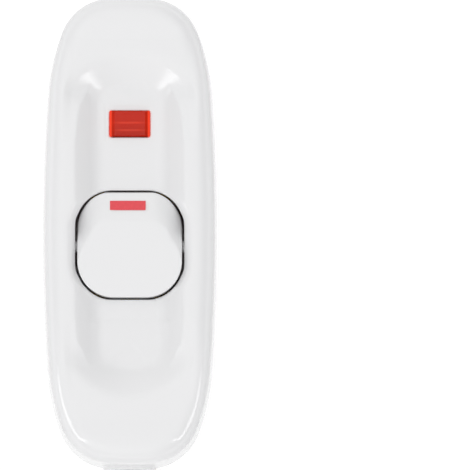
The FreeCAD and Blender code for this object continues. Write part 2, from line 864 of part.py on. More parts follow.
if __name__ == "__main__":
    save("front_cover", front_cover())
    save("rear_cover", rear_cover())
    save("rocker", rocker())
    save("rocker_mark", rocker_mark())
    save("plunger", plunger())
    save("rocker_spring", rocker_spring())
    save("contact_arm", contact_arm())
    save("moving_contact", moving_contact())
    save("fixed_contact", fixed_contact())
    save("line_in_terminal", line_in_terminal())
    save("line_out_terminal", line_out_terminal())
    save("neutral_bar", neutral_bar())
    save("terminal_screws", terminal_screws())
    save("indicator_lens", indicator_lens())
    save("neon_bulb", neon_bulb())
    save("neon_electrodes", neon_electrodes())
    save("ballast_resistor", ballast_resistor())
    save("neutral_lead", neutral_lead())
    save("upper_cord_clamp", cord_clamp(1))
    save("lower_cord_clamp", cord_clamp(-1))
    save("clamp_screws", clamp_screws())
    save("cover_screws", cover_screws())
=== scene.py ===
import json
import math

import bpy
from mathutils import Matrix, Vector


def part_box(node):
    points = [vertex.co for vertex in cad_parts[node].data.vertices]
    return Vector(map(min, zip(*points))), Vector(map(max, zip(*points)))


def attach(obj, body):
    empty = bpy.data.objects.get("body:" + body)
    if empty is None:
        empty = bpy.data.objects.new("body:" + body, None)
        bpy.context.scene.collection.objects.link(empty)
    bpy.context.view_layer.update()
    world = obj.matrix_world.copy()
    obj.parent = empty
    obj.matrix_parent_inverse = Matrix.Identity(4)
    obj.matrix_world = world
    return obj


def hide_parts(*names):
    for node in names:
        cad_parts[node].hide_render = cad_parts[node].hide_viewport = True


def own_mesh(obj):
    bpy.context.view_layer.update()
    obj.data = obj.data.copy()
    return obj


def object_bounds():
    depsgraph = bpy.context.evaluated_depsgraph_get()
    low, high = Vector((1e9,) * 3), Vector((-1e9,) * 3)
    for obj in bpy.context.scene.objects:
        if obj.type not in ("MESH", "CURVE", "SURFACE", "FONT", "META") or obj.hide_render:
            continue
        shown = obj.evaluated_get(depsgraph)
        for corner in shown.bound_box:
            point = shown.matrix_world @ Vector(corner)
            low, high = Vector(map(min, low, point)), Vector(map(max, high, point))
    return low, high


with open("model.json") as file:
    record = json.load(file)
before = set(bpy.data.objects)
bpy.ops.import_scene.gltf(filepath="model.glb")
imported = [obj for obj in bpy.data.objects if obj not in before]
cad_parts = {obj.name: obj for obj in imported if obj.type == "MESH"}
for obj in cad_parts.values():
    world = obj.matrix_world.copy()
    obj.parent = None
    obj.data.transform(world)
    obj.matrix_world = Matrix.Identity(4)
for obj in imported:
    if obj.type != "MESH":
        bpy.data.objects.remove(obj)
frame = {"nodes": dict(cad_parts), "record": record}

bl_info = {
    "name": "Inline cord switch finish",
    "version": (1, 0, 0),
    "blender": (4, 5, 0),
    "location": "View3D > Sidebar > Cord switch",
    "description": "Gives the packed cord switch its moulded edges, materials, light and camera",
    "category": "Object",
}

MM = 0.001
CAD_LOW, CAD_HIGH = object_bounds()
IMAGE_PIXELS = 470
JOINTS = {one["name"]: one for one in frame["record"]["behaviour"]["joints"]}
# Nodes that share a material
BRASS_NODES = ("neutral_bar", "line_in_terminal", "line_out_terminal", "contact_arm")
SCREW_NODES = ("terminal_screws", "clamp_screws", "cover_screws")
CONTACT_NODES = ("moving_contact", "fixed_contact")
CLAMP_NODES = ("upper_cord_clamp", "lower_cord_clamp")
# Mesh work: merging distance, smoothing per pass, a pass's spread in voxels and the most triangles in a piece
MERGE_DISTANCE = 0.002 * MM
SMOOTH_FACTOR = 0.5
PASS_SPREAD = 0.5
MOST_TRIANGLES = 190000
# The rocker in mm: its pivot, half width, reach from the pivot and the roll of its upper sides
PIVOT = Vector(JOINTS["rocker_hinge"]["pos_m"]) / MM
ROCKER_HALF_WIDTH = 11.1
ROCKER_REACH = 11.3
SHOULDER_ROLL = 1.1
# Where the rocker's face ends and its upper sides start and end, as shares of the half width or the reach
FACE_CORNER_POWER = 4
FACE_EDGE = (0.86, 0.95)
SHOULDER_ACROSS = (0.62, 0.8)
SHOULDER_START = (0.05, 0.3)
SHOULDER_END = (0.7, 0.9)
ROLL_ACROSS = (0.72, 1.05)
ROLL_START = (0.0, 0.35)
# Heights over the pivot, in mm, at which the blend of the face and the roll of the sides are in full
FACE_RISE = 1
ROLL_RISE = 2
# The printed bar: its distance from the middle in mm, and its width as a share of the solid's
MARK_SHIFT = -0.4
MARK_WIDTH_SHARE = 0.97
# The recess in mm: its depth, the top and slope of its side walls, and the sunken land around the dishes
RIM_HEIGHT = CAD_HIGH[2] / MM
RECESS_DEPTH = 3.0
CHANNEL_RIM = 11.65
CHANNEL_SLOPE = math.tan(math.radians(33))
LAND_DROP = 0.5
LAND_ALONG = (19, 29)
# Rounding in mm where two faces of the recess meet
WALL_TOP_ROUND = 0.25
WALL_FOOT_ROUND = 1.1
DISH_START_ROUND = 0.4
DISH_SIDE_ROUND = 0.12
DISH_FLOOR_ROUND = 0.3
# The dish at each end of the recess: its bounds in plan, then each one's start, slopes, radius and rounding
DISH_REACH = 15.5
DISH_SIDE = 14.0
DISH_CENTRE = 21.5
LOWER_DISH = {"start": 24.5, "entry_slope": 0.17, "side_slope": 0.26,
              "radius": 14.3, "end_slope": 0.4, "end_blend": 0.8, "rim_blend": 0.5}
UPPER_DISH = {"start": 26.0, "entry_slope": 0.22, "side_slope": 0.16,
              "radius": 16.3, "end_slope": 0.36, "end_blend": 0.5, "rim_blend": 0.5}
# The part of the front's outer face that takes the dishes: its ends and sides, lowest height and least rise
DRAWN_FROM = (18.5, 20)
DRAWN_TO = (40, 45)
DRAWN_ACROSS = (12.2, 16)
DRAWN_HEIGHT = 21.3
DRAWN_FACING = 0.35
# The rolled sides of the rocker opening in mm: across, along from the pivot, and up
LIP_INNER = (10.8, 11.2)
LIP_OUTER = (13, 14)
LIP_ALONG = (6, 10)
LIP_HEIGHT = (21, 22)
# The lens: its window in mm, bevels as shares of its width, the tint of its lower edge, the painted highlight
# at its bevels, and its painted glow and the glow's colour
LENS_LOW, LENS_HIGH = [Vector(corner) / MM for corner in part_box("indicator_lens")]
LENS_BEVEL = (0.35, 0.38)
LENS_LOWER_TINT = 0.72
LENS_BEVEL_PAINTED_HIGHLIGHT = 1.5
LENS_PAINTED_GLOW = 0.3
LENS_PAINTED_GLOW_COLOUR = "F2664A"
# The painted glow of the lamp's electrodes in the lens: the lines' width and shift in mm, span as a share of
# the lens, glow and soft edge
ROD_LINE_WIDTH = 0.4
LOWER_ROD_SHIFT = -0.4
UPPER_ROD_SHIFT = -0.8
ROD_SPAN = 0.54
ROD_PAINTED_GLOW = 0.5
LINE_EDGE = (0.3, 0.7)
# The overhead light's direction and narrowness, and the height that the bright horizon reaches
LAMP_SIDE = (-0.09, -0.06, 1.0)
OVERHEAD_POWER = 4.0
HORIZON_HEIGHT = 0.5
# The lamps in metres: the right one's place, which the left one mirrors, with width and height
SHOULDER_LAMP_PLACE = (0.46, -0.445, 0.77)
SHOULDER_LAMP_SIZE = (0.11, 0.3)
LOW_STRIP_PLACE = (0.72, -0.32, 0.62)
LOW_STRIP_SIZE = (0.56, 0.27)
# The floor: size and gap below the switch, then its grey, its glow and the grey it throws back
FLOOR_SIZE = 2.0
FLOOR_GAP = 0.05 * MM
FLOOR_GREY = 0.25
FLOOR_GLOW = 0.82
FLOOR_BOUNCE = 0.8
# The camera's sensor in mm and how far it sees in metres
SENSOR_WIDTH = 36.0
FARTHEST = 10.0


class MouldedFinish(bpy.types.PropertyGroup):
    """Colours of the switch and the softness of its moulded edges."""
    housing: bpy.props.StringProperty(
        name="Housing", description="sRGB hex of the white moulded plastic", default="E6E6E7")
    mark: bpy.props.StringProperty(
        name="Mark", description="sRGB hex of the red bar printed on the rocker", default="E2454E")
    lens: bpy.props.StringProperty(
        name="Lens", description="sRGB hex of the cloudy red lens", default="CC2810")
    housing_voxel: bpy.props.FloatProperty(
        name="Housing voxel", description="Mesh step of the housing halves", default=0.25 * MM,
        unit="LENGTH")
    rocker_voxel: bpy.props.FloatProperty(
        name="Rocker voxel", description="Mesh step of the rocker", default=0.14 * MM, unit="LENGTH")
    edge_passes: bpy.props.IntProperty(
        name="Edge passes", description="Smoothing passes that round the moulded edges", default=3)
    lip_blend: bpy.props.FloatProperty(
        name="Lip blend", description="Spread of the rolled sides of the rocker opening", default=0.9 * MM,
        unit="LENGTH")
    crease_blend: bpy.props.FloatProperty(
        name="Crease blend", description="Spread of the rocker's crease", default=0.7 * MM, unit="LENGTH")
    shoulder_blend: bpy.props.FloatProperty(
        name="Shoulder blend", description="Spread of the rocker's rounded upper sides", default=0.5 * MM,
        unit="LENGTH")


class StudioSettings(bpy.types.PropertyGroup):
    """The camera's place and the level of the lights."""
    pixels_per_mm: bpy.props.FloatProperty(
        name="Pixels per mm", description="Scale of the photograph at the parting plane", default=4.70)
    centre_pixel_x: bpy.props.FloatProperty(
        name="Centre across", description="Pixel column of the switch's middle", default=130.0)
    centre_pixel_y: bpy.props.FloatProperty(
        name="Centre down", description="Pixel row of the switch's middle", default=234.4)
    tilt: bpy.props.FloatProperty(
        name="Tilt", description="Lean of the view towards the lower end", default=math.radians(4.4),
        subtype="ANGLE")
    distance: bpy.props.FloatProperty(
        name="Distance", description="Camera distance from the parting plane", default=4.0, unit="LENGTH")
    ambient: bpy.props.FloatProperty(
        name="Ambient", description="Level of the light from all round", default=0.05)
    overhead: bpy.props.FloatProperty(
        name="Overhead", description="Extra level straight above", default=1.76)
    horizon: bpy.props.FloatProperty(
        name="Horizon", description="Extra level of the white walls all round", default=1.58)
    shoulder_lamp: bpy.props.FloatProperty(
        name="Shoulder lamp", description="Power of each lamp that shows in the upper dish", default=0.5)
    low_strip: bpy.props.FloatProperty(
        name="Low strip", description="Power of each strip that shows in the lower edges", default=1.9)
    lamp_spread: bpy.props.FloatProperty(
        name="Lamp spread", description="Width of the overhead light as a share of its length", default=0.3)


def linear(hex_text):
    """An sRGB hex colour as linear RGBA."""
    channels = [int(hex_text[place:place + 2], 16) / 255 for place in (0, 2, 4)]
    return [c / 12.92 if c <= 0.04045 else ((c + 0.055) / 1.055) ** 2.4 for c in channels] + [1.0]


def feed(tree, target, inputs):
    """Sets a node's inputs to values, or links them to other nodes' outputs."""
    for name, value in inputs.items():
        socket = target.inputs[name]
        if isinstance(value, bpy.types.NodeSocket):
            tree.links.new(value, socket)
        else:
            socket.default_value = value


def node(tree, kind, inputs=None, **settings):
    """Adds a node with its settings, input values and links."""
    made = tree.nodes.new(kind)
    for name, value in settings.items():
        setattr(made, name, value)
    feed(tree, made, inputs or {})
    return made


def calculate(tree, operation, *values):
    """The result of a sum on values or other nodes' outputs."""
    return node(tree, "ShaderNodeMath", dict(enumerate(values)), operation=operation).outputs["Value"]


def fade(tree, value, start, end, first=0.0, last=1.0, shape="LINEAR"):
    """Goes from first to last while a value goes from start to end."""
    limits = {"Value": value, "From Min": start, "From Max": end, "To Min": first, "To Max": last}
    return node(tree, "ShaderNodeMapRange", limits, interpolation_type=shape).outputs["Result"]


def blend_colours(tree, share, first, last):
    """A colour between two others."""
    mix = node(tree, "ShaderNodeMix", {"Factor": share, "A": first, "B": last}, data_type="RGBA")
    return mix.outputs["Result"]


def noise(tree, place, size_mm, detail):
    """A soft random pattern with marks of about this size."""
    pattern = {"Vector": place, "Scale": 1 / (size_mm * MM), "Detail": detail}
    return node(tree, "ShaderNodeTexNoise", pattern).outputs["Fac"]


def relief(tree, pattern, strength, depth_mm):
    """The tilt of a surface that a pattern raises and lowers."""
    heights = {"Height": pattern, "Strength": strength, "Distance": depth_mm * MM}
    return node(tree, "ShaderNodeBump", heights).outputs["Normal"]


def object_place(tree):
    """The place on the piece itself, so that patterns move with it."""
    return node(tree, "ShaderNodeTexCoord").outputs["Object"]


def tinted(colour, share):
    """A colour made darker or lighter."""
    return [min(1.0, channel * share) for channel in colour[:3]] + [1.0]


def grey(level):
    """A grey as linear RGBA."""
    return (level, level, level, 1.0)


def new_material(name):
    """An empty material with its output and a Principled shader."""
    material = bpy.data.materials.new(name)
    material.use_nodes = True
    tree = material.node_tree
    tree.nodes.clear()
    shader = node(tree, "ShaderNodeBsdfPrincipled")
    node(tree, "ShaderNodeOutputMaterial", {"Surface": shader.outputs["BSDF"]})
    return material, tree, shader


def moulded_white(name, hex_text):
    """White ABS, moulded and polished: an even bright body under a clear, slightly wavy gloss."""
    material, tree, shader = new_material(name)
    place = object_place(tree)
    cloud = noise(tree, place, size_mm=14.0, detail=2.0)
    ripple = noise(tree, place, size_mm=2.5, detail=1.0)
    body = linear(hex_text)
    feed(tree, shader, {
        "Base Color": blend_colours(tree, cloud, tinted(body, 0.992), body),
        "Roughness": fade(tree, cloud, 0.0, 1.0, first=0.13, last=0.17),
        "Normal": relief(tree, ripple, strength=0.02, depth_mm=0.1),
        "IOR": 1.53})
    return material


def printed_red(name, hex_text):
    """Pad-printed paint: a thin, slightly mottled coat with a faint grain."""
    material, tree, shader = new_material(name)
    grain = noise(tree, object_place(tree), size_mm=0.5, detail=3.0)
    body = linear(hex_text)
    feed(tree, shader, {
        "Base Color": blend_colours(tree, grain, tinted(body, 0.9), tinted(body, 1.08)),
        "Normal": relief(tree, grain, strength=0.2, depth_mm=0.05),
        "Roughness": 0.5})
    return material


def near_line(tree, value, place, width):
    """One where a coordinate is within a line's width of a place, in metres, and nothing away from it."""
    distance = calculate(tree, "ABSOLUTE", calculate(tree, "SUBTRACT", value, place))
    return fade(tree, distance, LINE_EDGE[0] * width, LINE_EDGE[1] * width, first=1.0, last=0.0)


def painted_electrode_glow(tree, across, along, width):
    """One on the two lines where the lens is painted with the glow of the lamp's electrodes, and nothing
    beside them.
    """
    rods_low, rods_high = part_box("neon_electrodes")
    lower = near_line(tree, along, rods_low[1] + LOWER_ROD_SHIFT * MM, ROD_LINE_WIDTH * MM)
    upper = near_line(tree, along, rods_high[1] + UPPER_ROD_SHIFT * MM, ROD_LINE_WIDTH * MM)
    between = near_line(tree, across, 0.0, ROD_SPAN * width)
    return calculate(tree, "MULTIPLY", calculate(tree, "MAXIMUM", lower, upper), between)


def red_polycarbonate(name, hex_text, low, high):
    """Cloudy red polycarbonate that darkens below, with painted light: its bevels are painted bright and
    glow, and lines of painted glow stand for the lamp's electrodes.
    """
    material, tree, shader = new_material(name)
    place = object_place(tree)
    axis = node(tree, "ShaderNodeSeparateXYZ", {"Vector": place}).outputs
    width = high[0] - low[0]
    side = calculate(tree, "ABSOLUTE", axis["X"])
    # Painted highlight: the bevels are painted brighter and made to glow.
    painted_bevel_highlight = fade(tree, side, LENS_BEVEL[0] * width, LENS_BEVEL[1] * width)
    upper_half = fade(tree, axis["Y"], low[1], (low[1] + high[1]) / 2)
    body = linear(hex_text)
    face = blend_colours(tree, upper_half, tinted(body, LENS_LOWER_TINT), body)
    # Painted glow: the lens glows on the electrodes' lines and at its bevels, though it is no lamp.
    painted_rod_glow = painted_electrode_glow(tree, axis["X"], axis["Y"], width)
    painted_glow = calculate(tree, "MULTIPLY_ADD", painted_rod_glow, ROD_PAINTED_GLOW, painted_bevel_highlight)
    flow = noise(tree, place, size_mm=3.0, detail=1.0)
    feed(tree, shader, {
        "Base Color": blend_colours(tree, painted_bevel_highlight, face, tinted(body, LENS_BEVEL_PAINTED_HIGHLIGHT)),
        "Emission Strength": calculate(tree, "MULTIPLY", painted_glow, LENS_PAINTED_GLOW),
        "Emission Color": linear(LENS_PAINTED_GLOW_COLOUR),
        "Normal": relief(tree, flow, strength=0.05, depth_mm=0.1),
        "Roughness": 0.08,
        "IOR": 1.585,
        "Specular IOR Level": 0.06,
        "Transmission Weight": 0.15})
    return material


def clear_glass(name):
    """Drawn lamp glass: clear, with a little waviness."""
    material, tree, shader = new_material(name)
    wave = noise(tree, object_place(tree), size_mm=2.0, detail=2.0)
    feed(tree, shader, {
        "Normal": relief(tree, wave, strength=0.05, depth_mm=0.1),
        "Roughness": 0.02,
        "IOR": 1.5,
        "Transmission Weight": 1.0})
    return material


def worked_metal(name, hex_text, roughness, scratch_mm):
    """Stamped, drawn or plated metal: fine marks along Y that break up the reflections."""
    material, tree, shader = new_material(name)
    along = node(tree, "ShaderNodeMapping", {"Vector": object_place(tree), "Scale": (1.0, 0.1, 1.0)})
    marks = noise(tree, along.outputs["Vector"], size_mm=scratch_mm, detail=4.0)
    feed(tree, shader, {
        "Base Color": linear(hex_text),
        "Roughness": fade(tree, marks, 0.0, 1.0, first=roughness * 0.7, last=roughness * 1.3),
        "Normal": relief(tree, marks, strength=0.1, depth_mm=0.02),
        "Metallic": 1.0})
    return material


def plain_moulding(name, hex_text, roughness):
    """Unpolished moulded plastic with a fine eroded grain."""
    material, tree, shader = new_material(name)
    grain = noise(tree, object_place(tree), size_mm=0.3, detail=3.0)
    body = linear(hex_text)
    feed(tree, shader, {
        "Base Color": blend_colours(tree, grain, tinted(body, 0.95), body),
        "Normal": relief(tree, grain, strength=0.2, depth_mm=0.03),
        "Roughness": roughness})
    return material


def dress(piece, material):
    """Gives a piece one material all over."""
    piece.data.materials.clear()
    piece.data.materials.append(material)


def dress_nodes(names, material):
    """Gives CAD nodes a material and leaves their meshes alone."""
    for name in names:
        part = frame["nodes"][name]
        if not part.material_slots:
            part.data.materials.append(material)
        for slot in part.material_slots:
            slot.material = material


def select_only(piece):
    """Selects one piece and makes it the active one."""
    bpy.ops.object.select_all(action="DESELECT")
    piece.select_set(True)
    bpy.context.view_layer.objects.active = piece


def merged_copy(node_name, piece_name):
    """A new piece with a node's form and its loose triangles merged."""
    source = frame["nodes"][node_name]
    piece = bpy.data.objects.new(piece_name, source.data.copy())
    bpy.context.scene.collection.objects.link(piece)
    select_only(piece)
    bpy.ops.object.mode_set(mode="EDIT")
    bpy.ops.mesh.select_all(action="SELECT")
    bpy.ops.mesh.remove_doubles(threshold=MERGE_DISTANCE)
    bpy.ops.object.mode_set(mode="OBJECT")
    return piece


def apply_modifier(piece, kind, **settings):
    """Adds a modifier with its settings and applies it."""
    select_only(piece)
    modifier = piece.modifiers.new(kind.lower(), kind)
    for name, value in settings.items():
        setattr(modifier, name, value)
    bpy.ops.object.modifier_apply(modifier=modifier.name)


def soften(piece, voxel, passes):
    """Remeshes a piece evenly and smooths it, which rounds every edge as a mould does."""
    apply_modifier(piece, "REMESH", mode="VOXEL", voxel_size=voxel, use_smooth_shade=True)
    apply_modifier(piece, "SMOOTH", factor=SMOOTH_FACTOR, iterations=passes)


def ramp(value, low, high):
    """Rises smoothly from 0 at low to 1 at high."""
    share = min(1.0, max(0.0, (value - low) / (high - low)))
    return share * share * (3 - 2 * share)


def blend_region(piece, voxel, spread, weight_at):
    """Smooths one region of an evenly meshed piece; weight_at gives its weight at a point in mm."""
    group = piece.vertex_groups.new(name="blend")
    for vertex in piece.data.vertices:
        weight = weight_at(vertex.co / MM)
        if weight > 0:
            group.add([vertex.index], weight, "REPLACE")
    passes = round((spread / (PASS_SPREAD * voxel)) ** 2)
    apply_modifier(piece, "SMOOTH", factor=SMOOTH_FACTOR, iterations=passes, vertex_group="blend")
    piece.vertex_groups.clear()


def thin_out(piece, limit):
    """Lowers a piece's triangle count where the surface is flat."""
    count = sum(len(face.vertices) - 2 for face in piece.data.polygons)
    if count > limit:
        apply_modifier(piece, "DECIMATE", ratio=limit / count)


def shift_region(piece, reach, amount_at):
    """Lifts or sinks part of a piece along Z; amount_at gives a vertex's distance, in mm."""
    amounts = [amount_at(vertex) for vertex in piece.data.vertices]
    for way in (1, -1):
        group = piece.vertex_groups.new(name="shift")
        for index, amount in enumerate(amounts):
            if amount * way > 0:
                group.add([index], min(1.0, amount * way / reach), "REPLACE")
        apply_modifier(piece, "DISPLACE", direction="Z", strength=way * reach * MM, mid_level=0.0,
                       vertex_group="shift")
        piece.vertex_groups.clear()


def least(one, two, blend):
    """The lesser of two depths, rounded where they meet."""
    share = max(blend - abs(one - two), 0.0) / blend
    return min(one, two) - share * share * blend / 4


def most(one, two, blend):
    """The greater of two depths, rounded where they meet."""
    return -least(-one, -two, blend)


def recess_depth(point):
    """The depth of the recess at a place in plan, in mm: a walled channel with a soft dish at each end."""
    across, along = abs(point.x), abs(point.y)
    dish = UPPER_DISH if point.y > 0 else LOWER_DISH
    wall = most((CHANNEL_RIM - across) * CHANNEL_SLOPE, 0.0, WALL_TOP_ROUND)
    channel = least(wall, RECESS_DEPTH, WALL_FOOT_ROUND)
    land = LAND_DROP * ramp(along, *LAND_ALONG)
    entry = (along - dish["start"]) * dish["entry_slope"] + (CHANNEL_RIM - across) * dish["side_slope"]
    hollow = land + most(entry, 0.0, DISH_START_ROUND)
    end = land + (dish["radius"] - math.hypot(across, along - DISH_CENTRE)) * dish["end_slope"]
    bowl = least(most(channel, hollow, DISH_SIDE_ROUND), end, dish["end_blend"])
    inside = least(bowl, RECESS_DEPTH, DISH_FLOOR_ROUND)
    return most(inside, land, dish["rim_blend"])


def in_lens_window(point):
    """Whether a point lies over the lens, where the face has its window."""
    return LENS_LOW.x < point.x < LENS_HIGH.x and LENS_LOW.y < point.y < LENS_HIGH.y


def dish_shift(vertex):
    """How far a point of the front's outer face moves to lie in the drawn recess, in mm."""
    point = vertex.co / MM
    across, along = abs(point.x), abs(point.y)
    outer_face = point.z >= DRAWN_HEIGHT and vertex.normal.z >= DRAWN_FACING
    if along < DRAWN_FROM[0] or not outer_face or in_lens_window(point):
        return 0.0
    inside = ramp(along, *DRAWN_FROM) * (1 - ramp(along, *DRAWN_TO)) * (1 - ramp(across, *DRAWN_ACROSS))
    target = RIM_HEIGHT - recess_depth(point)
    if math.hypot(point.x, along - DISH_CENTRE) > DISH_REACH or across > DISH_SIDE:
        target = min(target, point.z - LAND_DROP * ramp(along, *LAND_ALONG))
    return inside * (target - point.z)


def lip_weight(point):
    """One over the sides of the rocker opening, where its edge rolls over, and nothing elsewhere."""
    across = ramp(abs(point.x), *LIP_INNER) * (1 - ramp(abs(point.x), *LIP_OUTER))
    along = 1 - ramp(abs(point.y - PIVOT.y), *LIP_ALONG)
    return across * along * ramp(point.z, *LIP_HEIGHT)


def rocker_shares(point):
    """A point's distance from the pivot, across and along, as shares of the rocker's half width and reach."""
    return abs(point.x) / ROCKER_HALF_WIDTH, (point.y - PIVOT.y) / ROCKER_REACH


def crease_weight(point):
    """One over the rocker's face with its crease, and nothing at its edges."""
    across, reach = rocker_shares(point)
    outward = (across ** FACE_CORNER_POWER + reach ** FACE_CORNER_POWER) ** (1 / FACE_CORNER_POWER)
    return (1 - ramp(outward, *FACE_EDGE)) * ramp(point.z, PIVOT.z, PIVOT.z + FACE_RISE)


def shoulder_weight(point):
    """One along the sides of the rocker's upper half, and nothing elsewhere."""
    across, reach = rocker_shares(point)
    upper_half = ramp(reach, *SHOULDER_START) * (1 - ramp(reach, *SHOULDER_END))
    return ramp(across, *SHOULDER_ACROSS) * upper_half * ramp(point.z, PIVOT.z, PIVOT.z + FACE_RISE)


def shoulder_drop(vertex):
    """How far the sides of the rocker's upper half roll down, in mm."""
    point = vertex.co / MM
    across, reach = rocker_shares(point)
    roll = ramp(across, *ROLL_ACROSS) * ramp(reach, *ROLL_START) * ramp(point.z, PIVOT.z, PIVOT.z + ROLL_RISE)
    return -SHOULDER_ROLL * roll


def stand_for(piece, node_name):
    """The piece takes a node's place and body, and the node is hidden."""
    record = frame["record"]
    body = [name for name, nodes in record["behaviour"]["bodies"].items() if node_name in nodes][0]
    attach(piece, body)
    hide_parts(node_name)


def offset_print(mark):
    """Sets the printed bar a little off the rocker's middle, as the printing pad left it."""
    select_only(mark)
    bpy.ops.object.mode_set(mode="EDIT")
    bpy.ops.mesh.select_all(action="SELECT")
    bpy.ops.transform.resize(value=(MARK_WIDTH_SHARE, 1, 1))
    bpy.ops.transform.translate(value=(MARK_SHIFT * MM, 0, 0))
    bpy.ops.object.mode_set(mode="OBJECT")


def squeeze_spring(spring):
    """Gives the spring a mesh of its own."""
    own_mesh(spring)


class SWITCH_OT_housing(bpy.types.Operator):
    """Makes both housing halves with soft moulded edges"""
    bl_idname = "cord_switch.housing"
    bl_label = "Housing"

    def execute(self, context):
        finish = context.scene.moulded_finish
        white = moulded_white("polished_white_abs", finish.housing)
        for name in ("front_cover", "rear_cover"):
            piece = merged_copy(name, f"{name}_moulding")
            soften(piece, finish.housing_voxel, finish.edge_passes)
            if name == "front_cover":
                shift_region(piece, RECESS_DEPTH, dish_shift)
                blend_region(piece, finish.housing_voxel, finish.lip_blend, lip_weight)
            thin_out(piece, MOST_TRIANGLES)
            dress(piece, white)
            stand_for(piece, name)
        return {"FINISHED"}


class SWITCH_OT_rocker(bpy.types.Operator):
    """Makes the rocker with soft edges and paints its red bar"""
    bl_idname = "cord_switch.rocker"
    bl_label = "Rocker"

    def execute(self, context):
        finish = context.scene.moulded_finish
        piece = merged_copy("rocker", "rocker_moulding")
        soften(piece, finish.rocker_voxel, finish.edge_passes)
        blend_region(piece, finish.rocker_voxel, finish.crease_blend, crease_weight)
        shift_region(piece, SHOULDER_ROLL, shoulder_drop)
        blend_region(piece, finish.rocker_voxel, finish.shoulder_blend, shoulder_weight)
        thin_out(piece, MOST_TRIANGLES)
        dress(piece, moulded_white("polished_white_abs_rocker", finish.housing))
        stand_for(piece, "rocker")
        mark = merged_copy("rocker_mark", "rocker_mark_print")
        offset_print(mark)
        dress(mark, printed_red("pad_printed_red", finish.mark))
        stand_for(mark, "rocker_mark")
        return {"FINISHED"}


class SWITCH_OT_indicator(bpy.types.Operator):
    """Finishes the lens and the lamp behind it"""
    bl_idname = "cord_switch.indicator"
    bl_label = "Indicator"

    def execute(self, context):
        finish = context.scene.moulded_finish
        low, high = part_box("indicator_lens")
        lens = red_polycarbonate("cloudy_red_polycarbonate_painted_glow", finish.lens, low, high)
        dress_nodes(["indicator_lens"], lens)
        dress_nodes(["neon_bulb"], clear_glass("drawn_lamp_glass"))
        nickel = worked_metal("drawn_nickel", "C9C4BC", roughness=0.3, scratch_mm=0.3)
        dress_nodes(["neon_electrodes"], nickel)
        dress_nodes(["ballast_resistor"], plain_moulding("resistor_lacquer", "B98F5E", roughness=0.45))
        wire = worked_metal("tinned_copper_wire", "C6C6C4", roughness=0.35, scratch_mm=0.3)
        dress_nodes(["neutral_lead"], wire)
        return {"FINISHED"}


class SWITCH_OT_works(bpy.types.Operator):
    """Finishes the terminals, contacts, screws, clamps, plunger and spring"""
    bl_idname = "cord_switch.works"
    bl_label = "Works"

    def execute(self, context):
        dress_nodes(BRASS_NODES, worked_metal("stamped_brass", "C9A24B", roughness=0.3, scratch_mm=0.25))
        dress_nodes(SCREW_NODES, worked_metal("zinc_plated_steel", "BFC1C4", roughness=0.28, scratch_mm=0.2))
        dress_nodes(CONTACT_NODES, worked_metal("contact_silver", "E4E2DE", roughness=0.22, scratch_mm=0.3))
        spring = merged_copy("rocker_spring", "rocker_spring_coil")
        dress(spring, worked_metal("spring_steel_wire", "9A9A9C", roughness=0.25, scratch_mm=0.2))
        stand_for(spring, "rocker_spring")
        squeeze_spring(spring)
        dress_nodes(CLAMP_NODES, plain_moulding("moulded_clamp_polyamide", "DADAD8", roughness=0.5))
        dress_nodes(["plunger"], plain_moulding("natural_polyamide", "E2DCCB", roughness=0.45))
        return {"FINISHED"}


def any_ray(tree, *kinds):
    """One for light rays of these kinds, and nothing for others."""
    path = node(tree, "ShaderNodeLightPath").outputs
    seen = path[kinds[0]]
    for kind in kinds[1:]:
        seen = calculate(tree, "MAXIMUM", seen, path[kind])
    return seen


def overhead_light(tree, direction, studio):
    """The level of the soft light in a direction: brightest overhead, and spread along the switch."""
    stretch = (1.0, studio.lamp_spread, 1.0)
    stretched = node(tree, "ShaderNodeVectorMath", {0: direction, 1: stretch}, operation="MULTIPLY")
    heading = node(tree, "ShaderNodeVectorMath", {0: stretched.outputs["Vector"]}, operation="NORMALIZE")
    lamp_side = Vector(LAMP_SIDE).normalized()
    facing = node(tree, "ShaderNodeVectorMath", {0: heading.outputs["Vector"], 1: lamp_side},
                  operation="DOT_PRODUCT")
    upward = calculate(tree, "MAXIMUM", facing.outputs["Value"], 0.0)
    spot = calculate(tree, "POWER", upward, OVERHEAD_POWER)
    return calculate(tree, "MULTIPLY_ADD", spot, studio.overhead, studio.ambient)


def white_world(studio):
    """Soft light from overhead and the horizon, and plain white to the camera and through clear pieces."""
    world = bpy.data.worlds.new("soft_studio")
    bpy.context.scene.world = world
    world.use_nodes = True
    tree = world.node_tree
    tree.nodes.clear()
    direction = node(tree, "ShaderNodeTexCoord").outputs["Generated"]
    height = node(tree, "ShaderNodeSeparateXYZ", {"Vector": direction})
    lift = calculate(tree, "ABSOLUTE", height.outputs["Z"])
    low_band = fade(tree, lift, 0.0, HORIZON_HEIGHT, first=1.0, last=0.0, shape="SMOOTHSTEP")
    level = calculate(tree, "MULTIPLY_ADD", low_band, studio.horizon, overhead_light(tree, direction, studio))
    light = node(tree, "ShaderNodeBackground", {"Color": grey(1.0), "Strength": level})
    paper = node(tree, "ShaderNodeBackground", {"Color": grey(1.0), "Strength": 1.0})
    seen = any_ray(tree, "Is Camera Ray", "Is Transmission Ray")
    mix = node(tree, "ShaderNodeMixShader", {0: seen, 1: light.outputs["Background"],
                                             2: paper.outputs["Background"]})
    node(tree, "ShaderNodeOutputWorld", {"Surface": mix.outputs["Shader"]})


